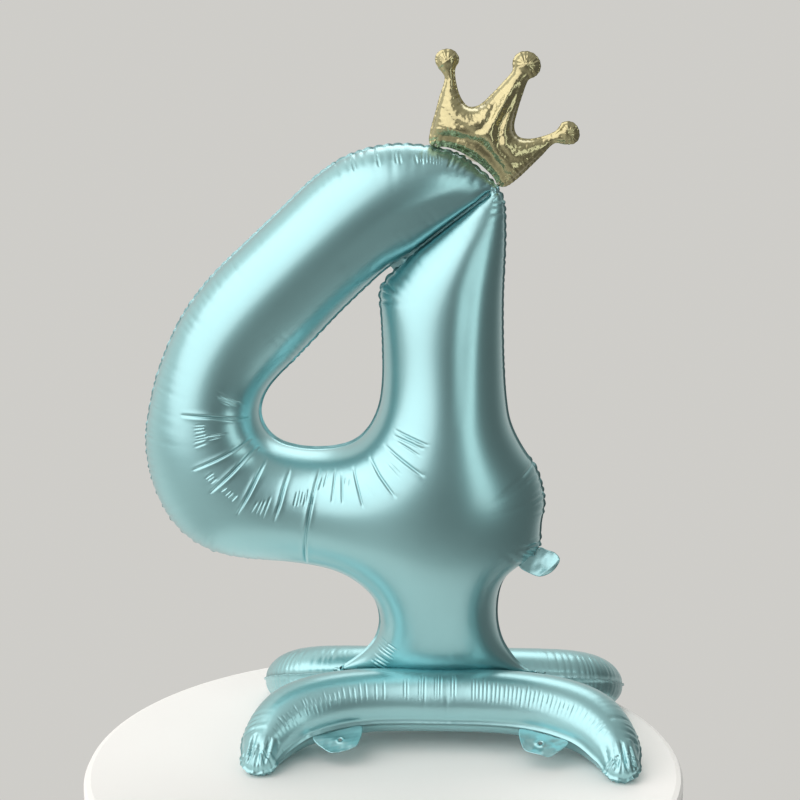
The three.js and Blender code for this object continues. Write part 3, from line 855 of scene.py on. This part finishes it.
def toe_folds(plain, outward, curvature):
    """Deep folds that run in side by side from the end of each toe."""
    toes = np.flatnonzero((np.abs(plain[:, 0]) > TOE_START) & (curvature > 0.02))
    found = []
    for sign in (-1, 1):
        toe = toes[np.sign(plain[toes, 0]) == sign]
        axis = outward[toe].mean(0)
        axis /= np.linalg.norm(axis)
        across = np.array([-axis[1], axis[0]])
        tip = plain[toe[(plain[toe] @ axis).argmax()]]
        for aside in (-19, -9, 2, 12, 22):
            k = toe[np.abs((plain[toe] - tip) @ across - aside).argmin()]
            reach = rng.uniform(20, 44)
            found.append(([plain[k] - axis * 2.5, plain[k] - axis * reach],
                          rng.uniform(2.6, 4.2), rng.uniform(2.2, 3.2)))
    return found


def build_foot(end, turn):
    """Makes a foot's two films; turn is 1 for the front and -1 for the rear. Returns its seam."""
    seam = Seam(joints[end + "_foot_splay"]["pos_m"], (turn, 0, 0),
                (0, turn * math.cos(FOOT_LEAN), math.sin(FOOT_LEAN)))
    node = end + "_foot_outer_film"
    plain = smooth_outline(outlines_of(node, seam)[0], 1.0)
    outward, curvature = loop_frame(plain)[:2]
    creases = arch_pleats(plain, outward, curvature) + toe_folds(plain, outward, curvature)
    foot = Chamber(node, seam, 1.0, 3.2, creases)
    puckers = Puckers(foot, rng, 9, 0.1, 0.9)
    # The weld is gathered only low on a foot, and on the rear one also at its sides.
    gathered = np.interp(foot.edge[:, 1], (-120, -60), (1.0, 0.12))
    if end == "rear":
        gathered = np.maximum(gathered, np.interp(np.abs(foot.edge[:, 0]), (110, 150), (0.1, 0.5)))
    puckers.strength *= gathered
    puckers.swing *= gathered
    for part, side in (("outer", 1), ("inner", -1)):
        name = f"{end}_foot_{part}"
        film(name, foot, side, end + "_foot", teal, [name + "_film"], puckers,
             creases, scallop=1.6, wave=1.2, pucker_length=13)
    return seam


feet = {"front": build_foot("front", 1), "rear": build_foot("rear", -1)}

# ---- Tails and tabs ---------------------------------------------------------------------------

PLY = 0.7  # thickness of a tail's two plies together


def build_tab(end, hand, seam):
    """A crumpled tongue with an eyelet, that hangs from a foot's weld."""
    node = f"{end}_{hand}_eyelet_tab"
    level = seam.flat(mesh_points(nodes[node].data))[1]
    outer, *holes = outlines_of(node, seam, level.min())
    outer = smooth_outline(outer, 1.5)
    holes = [smooth_outline(hole, 0.7) for hole in holes]
    eye = holes[0].mean(0) if holes else outer.mean(0)
    seed = len(node) + ord(hand[0])

    def crumple(flat):
        drop = np.clip((outer[:, 1].max() - 4 - flat[:, 1]) / 20, 0, 1)
        raised_ring = 0.7 * np.exp(-((np.linalg.norm(flat - eye, axis=1) - 4.6) / 1.0) ** 2)
        crumpled = 1.5 * ruffle(flat, 34, seed) + 0.25 * ruffle(flat, 9, seed + 1)
        return level.mean() + drop * crumpled + raised_ring

    shell(f"{end}_{hand}_tab", outer, holes, seam, crumple, 0.5, 1.5, f"{end}_{hand}_tab",
          teal, [node])


for end, seam in feet.items():
    for hand in ("left", "right"):
        build_tab(end, hand, seam)

# The digit's inflation tail: a rounded leaf of two plies that leaves the weld of the lower bulge.
TAIL = np.array([(172, 247), (187, 254), (200, 264), (208, 261), (220, 257), (226, 250), (222, 240),
                 (212, 230), (199, 225), (184, 229), (173, 236)], float)
TAIL_ROOT = np.array([186, 251], float)
TAIL_ANGLE = math.radians(42)
TAIL_OUT = np.array([math.sin(TAIL_ANGLE), -math.cos(TAIL_ANGLE)])  # square to its hinge


def tail_height(flat):
    offset = flat - TAIL_ROOT
    free = np.clip(offset @ TAIL_OUT / 28, 0, 1)
    across = offset @ np.array([-TAIL_OUT[1], TAIL_OUT[0]])
    return 7 * free ** 2 + 2.2 * free * np.sin(across / 9) + 0.5 * free * ruffle(flat, 15, 8)


tail_hinge = np.array(joints["digit_tail_flap"]["pos_m"])
tail_out = np.array([TAIL_OUT[0], 0, TAIL_OUT[1]])
tail_bend = ("digit", "digit_tail", tail_hinge - 0.001 * tail_out, tail_hinge + 0.009 * tail_out)
shell("digit_tail", smooth_outline(TAIL, 1.2), [], DIGIT_SEAM, tail_height, PLY, 1.3, tail_bend,
      teal, ["digit_tail_front_ply", "digit_tail_rear_ply"])

# The base's inflation tail hangs from the rear foot's arch.
BASE_TAIL = np.array([(-13, -93), (13, -93), (13, -110), (13.5, -124), (9, -131), (0, -132), (-9, -131),
                      (-13.5, -124), (-13, -110)], float)


def base_tail_height(flat):
    return 0.05 * (-92 - flat[:, 1]) * ruffle(flat, 20, 3)


shell("base_tail", smooth_outline(BASE_TAIL, 1.2), [], feet["rear"], base_tail_height, PLY, 1.4,
      "base_tail", teal, ["base_tail_outer_ply", "base_tail_inner_ply"])

# The crown's inflation tail is folded back under the crown, out of the seam plane.
CROWN_TAIL = np.array([(-10, 2), (10, 2), (10, 20), (9.5, 30), (6, 35), (-6, 35), (-9.5, 30),
                       (-10, 20)], float)
crown_tail_root = (CROWN_BASE + 8 * CROWN_UP) * MM
crown_tail_plane = Seam((crown_tail_root[0], 0, crown_tail_root[1]),
                        (CROWN_RIGHT[0], 0, CROWN_RIGHT[1]), (0, 1, 0))


def crown_tail_height(flat):
    return -0.004 * flat[:, 1] ** 2 + 0.4 * ruffle(flat, 16, 5)


shell("crown_tail", smooth_outline(CROWN_TAIL, 1.2), [], crown_tail_plane, crown_tail_height, PLY, 1.3,
      "crown", gold, ["crown_tail_upper_ply", "crown_tail_lower_ply"])

# What is left of the CAD: the valves inside the chambers and the dots of glue under the crown.
for name, node in nodes.items():
    if not node.hide_render:
        node.data.materials[0] = glue if "glue" in name else valve_film

# ---- Studio -----------------------------------------------------------------------------------

CENTRE = Vector((0.0, 0.0, 0.45))  # the middle of the balloon
FLOOR_CENTRE = (-0.005, -0.085)
FLOOR_RADIUS = 0.38
# Half the floor's section, from its top over the rounded rim, as radius and height.
FLOOR_EDGE = [(FLOOR_RADIUS, 0.0), (FLOOR_RADIUS + 0.006, -0.002), (FLOOR_RADIUS + 0.009, -0.008),
              (FLOOR_RADIUS + 0.009, -0.024), (FLOOR_RADIUS + 0.004, -0.028)]


def face(obj, towards):
    obj.rotation_euler = Vector(towards).to_track_quat("-Z", "Y").to_euler()


def add_light(name, kind, power, colour):
    light = bpy.data.lights.new(name, kind)
    light.energy = power
    light.color = colour
    return light, add_object(name, light)


def soft_light(name, place, target, size, power, colour):
    light, lamp = add_light(name, "AREA", power, colour)
    light.shape = "RECTANGLE"
    light.size, light.size_y = size
    lamp.location = place
    face(lamp, Vector(target) - lamp.location)


def soft_sun(name, towards, angle, power, colour):
    light, lamp = add_light(name, "SUN", power, colour)
    light.angle = math.radians(angle)
    face(lamp, towards)


def round_floor():
    """A pale round slab under the balloon, whose film mirrors it."""
    count = 192
    points = []
    for radius, z in FLOOR_EDGE:
        for a in np.linspace(0, 2 * math.pi, count, endpoint=False):
            points.append((FLOOR_CENTRE[0] + radius * math.cos(a),
                           FLOOR_CENTRE[1] + radius * math.sin(a), z))
    last = (len(FLOOR_EDGE) - 1) * count
    faces = [list(range(count)), list(reversed(range(last, last + count)))]
    for start in range(0, last, count):
        for i in range(count):
            following = (i + 1) % count
            faces.append([start + i, start + count + i, start + count + following, start + following])
    mesh = bpy.data.meshes.new("floor")
    mesh.from_pydata(points, [], faces)
    paint, shader = new_material("floor_paint")
    shader.inputs["Base Color"].default_value = (0.97, 0.97, 0.95, 1)
    shader.inputs["Roughness"].default_value = 0.5
    mesh.materials.append(paint)
    return add_object("floor", mesh)


def glow(tree, direction, towards, start, end, low, high):
    """Brightness that rises from low to high as the view turns towards a direction."""
    dot = tree.nodes.new("ShaderNodeVectorMath")
    dot.operation = "DOT_PRODUCT"
    tree.links.new(direction, dot.inputs[0])
    dot.inputs[1].default_value = Vector(towards).normalized()
    rise = tree.nodes.new("ShaderNodeMapRange")
    rise.interpolation_type = "SMOOTHSTEP"
    for socket, value in zip(("From Min", "From Max", "To Min", "To Max"), (start, end, low, high)):
        rise.inputs[socket].default_value = value
    tree.links.new(dot.outputs["Value"], rise.inputs["Value"])
    return rise.outputs["Result"]


def studio_world(glows):
    """A warm white room whose brightness is the sum of the glows."""
    world = bpy.data.worlds.new("studio")
    world.use_nodes = True
    tree = world.node_tree
    direction = tree.nodes.new("ShaderNodeTexCoord").outputs["Generated"]
    total, *others = [glow(tree, direction, *settings) for settings in glows]
    for other in others:
        add = tree.nodes.new("ShaderNodeMath")
        tree.links.new(total, add.inputs[0])
        tree.links.new(other, add.inputs[1])
        total = add.outputs[0]
    background = tree.nodes["Background"]
    background.inputs["Color"].default_value = (1.0, 0.985, 0.94, 1)
    tree.links.new(total, background.inputs["Strength"])
    return world


camera_data = bpy.data.cameras.new("camera")
camera_data.lens, camera_data.sensor_width = 69.3, 36
camera = add_object("camera", camera_data)
camera.location = (0.1044, -2.0, 0.8228)
camera.rotation_euler = (math.radians(90 - 10.2), 0, math.radians(2.64))
bpy.context.scene.camera = camera
round_floor()

bpy.context.scene.world = studio_world([
    ((-0.45, 1, 0), -0.1, 0.78, 0.17, 0.62),  # behind the balloon and to its left
    ((-0.3, -0.3, -1), 0.3, 0.9, 0, 0.3),  # below
    ((-1, -0.3, 0.3), 0.1, 0.9, 0, 0.30),  # to the left
    ((0, 0, 1), 0.3, 1, 0, 0.35),  # above
])
bpy.context.scene.view_settings.view_transform = "Standard"
soft_sun("window", (0.60, 0.58, -0.55), 80, 1.76, (1.0, 0.93, 0.925))
soft_light("back", (0.3, 1.5, 2.1), (0.0, -0.1, 0.0), (1.8, 1.2), 9, (1, 1, 1))
soft_light("fill", (1.55, -1.5, 0.95), CENTRE, (0.75, 1.9), 6.6, (0.93, 1.0, 0.97))
